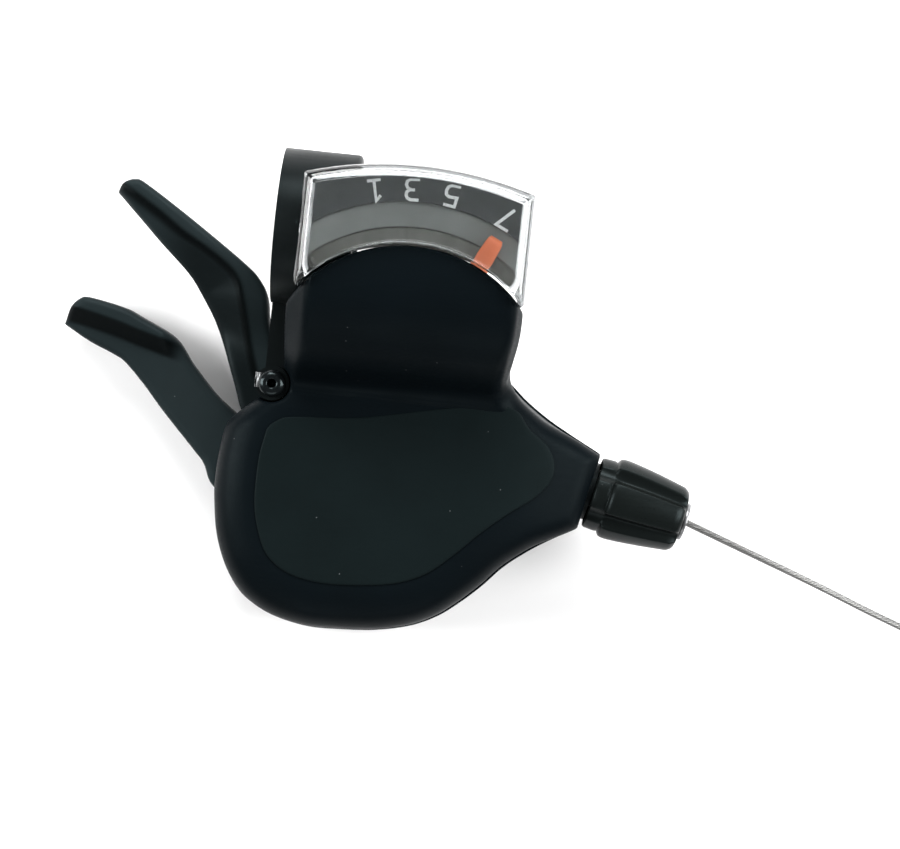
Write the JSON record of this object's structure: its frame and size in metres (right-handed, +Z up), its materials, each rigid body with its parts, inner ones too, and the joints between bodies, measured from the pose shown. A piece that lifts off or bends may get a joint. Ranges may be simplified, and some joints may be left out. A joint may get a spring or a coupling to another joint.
{
  "type": "bicycle thumb shifter",
  "caption": "Right-hand thumb shifter pod on a split bar clamp, with a gear window, two thumb levers, a barrel adjuster and a bare shift wire.",
  "frame": {"origin": "centre of the bar clamp bore, midway along its width", "axes": "+X along the handlebar towards the middle of the bicycle, +Y towards the rider, +Z up along the lever axle"},
  "size_m": [0.2001, 0.0837, 0.0483],
  "materials": {
    "cover_black": "satin moulded black plastic with a fine grain",
    "cover_under": "satin moulded black plastic",
    "bracket_black": "satin black painted cast alloy",
    "lever_black": "satin black glass-filled plastic",
    "knob_black": "satin black moulded plastic",
    "lens_clear": "clear polished polycarbonate",
    "dial_grey": "grey moulded dial with darker terraces",
    "tray_dark": "dark grey moulded plastic",
    "needle_orange": "salmon orange moulded plastic",
    "steel_bright": "zinc plated steel",
    "steel_dark": "black oxide steel",
    "spring_steel": "drawn spring wire",
    "drum_plastic": "natural acetal",
    "insert_silver": "turned aluminium",
    "wire_steel": "stranded stainless wire",
    "tie_black": "black plastic twist tie"
  },
  "bodies": {
    "housing": {"clamp_bracket": "bracket_black", "clamp_bolt": "steel_dark", "clamp_nut": "steel_dark", "top_cover": "cover_black", "bottom_cover": "cover_under", "cover_screws": "steel_dark", "indicator_tray": "tray_dark", "indicator_dial": "dial_grey", "indicator_lens": "lens_clear", "needle_pivot_pin": "steel_bright", "main_axle": "steel_bright", "axle_nut": "steel_bright", "axle_washer": "steel_bright", "drum_washer": "steel_bright", "base_plate": "steel_bright", "plate_standoffs": "steel_bright", "hold_pawl_pin": "steel_bright", "hold_pawl_spring": "spring_steel", "drum_spring": "spring_steel", "main_lever_spring": "spring_steel", "release_lever_spring": "spring_steel", "adjuster_spring": "spring_steel", "shift_wire_free": "wire_steel", "shift_wire_coil": "wire_steel", "coil_tie": "tie_black"},
    "drum": {"cable_drum": "drum_plastic", "ratchet_plate": "steel_bright", "cable_head": "wire_steel"},
    "inner_wire": {"shift_wire_inner": "wire_steel"},
    "needle": {"indicator_needle": "needle_orange"},
    "link": {"needle_link": "steel_bright"},
    "main_lever": {"main_lever": "lever_black", "main_lever_plate": "steel_bright", "feed_pawl_pin": "steel_bright", "feed_pawl_spring": "spring_steel"},
    "feed_pawl": {"feed_pawl": "steel_bright"},
    "release_lever": {"release_lever": "lever_black", "release_lever_plate": "steel_bright"},
    "hold_pawl": {"hold_pawl": "steel_bright"},
    "adjuster_slide": {"adjuster_insert": "insert_silver"},
    "adjuster_turn": {"adjuster_knob": "knob_black", "adjuster_stem": "knob_black"}
  },
  "joints": [
    {"name": "main_lever_swing", "type": "hinge", "parent": "housing", "child": "main_lever", "pos_m": [0.0164, -0.0448, -0.021], "axis": [0, 0, 1], "range_deg": [0, 42], "stiffness_Nm_per_rad": 0.12, "springref_deg": -20.05},
    {"name": "feed_pawl_swing", "type": "hinge", "parent": "main_lever", "child": "feed_pawl", "pos_m": [0.00002, -0.05117, -0.015], "axis": [0, 0, 1], "range_deg": [0, 4], "stiffness_Nm_per_rad": 0.002, "springref_deg": -11.46},
    {"name": "release_lever_swing", "type": "hinge", "parent": "housing", "child": "release_lever", "pos_m": [0.0164, -0.0448, -0.017], "axis": [0, 0, 1], "range_deg": [0, 12], "stiffness_Nm_per_rad": 0.12, "springref_deg": -20.05},
    {"name": "hold_pawl_swing", "type": "hinge", "parent": "housing", "child": "hold_pawl", "pos_m": [0.03451, -0.04677, -0.016], "axis": [0, 0, 1], "range_deg": [-14.4, 0]},
    {"name": "drum_spin", "type": "hinge", "parent": "housing", "child": "drum", "pos_m": [0.0164, -0.0448, -0.011], "axis": [0, 0, 1], "range_deg": [0, 84]},
    {"name": "wire_slide", "type": "slide", "parent": "housing", "child": "inner_wire", "axis": [-0.9781, 0.2079, 0], "range_m": [0, 0.01702]},
    {"name": "needle_swing", "type": "hinge", "parent": "housing", "child": "needle", "pos_m": [0.0175, -0.0275, -0.004], "axis": [0, 0, 1], "range_deg": [0, 38.2]},
    {"name": "link_swing", "type": "hinge", "parent": "needle", "child": "link", "pos_m": [0.02586, -0.03507, -0.003], "axis": [0, 0, 1], "range_deg": [-38.2, 0]},
    {"name": "adjuster_travel", "type": "slide", "parent": "housing", "child": "adjuster_slide", "axis": [0.9781, -0.2079, 0], "range_m": [0, 0.0032]},
    {"name": "knob_turn", "type": "hinge", "parent": "adjuster_slide", "child": "adjuster_turn", "pos_m": [0.05266, -0.04065, -0.0116], "axis": [0.9781, -0.2079, 0], "range_deg": [0, 1441]}
  ],
  "couplings": [
    {"joint": "hold_pawl_swing", "follows": "release_lever_swing", "ratio": -1.2},
    {"joint": "needle_swing", "follows": "drum_spin", "ratio": 0.45357},
    {"joint": "link_swing", "follows": "drum_spin", "ratio": -0.45357},
    {"joint": "wire_slide", "follows": "drum_spin", "m_per_rad": 0.0116},
    {"joint": "knob_turn", "follows": "adjuster_travel", "rad_per_m": 7854}
  ]
}
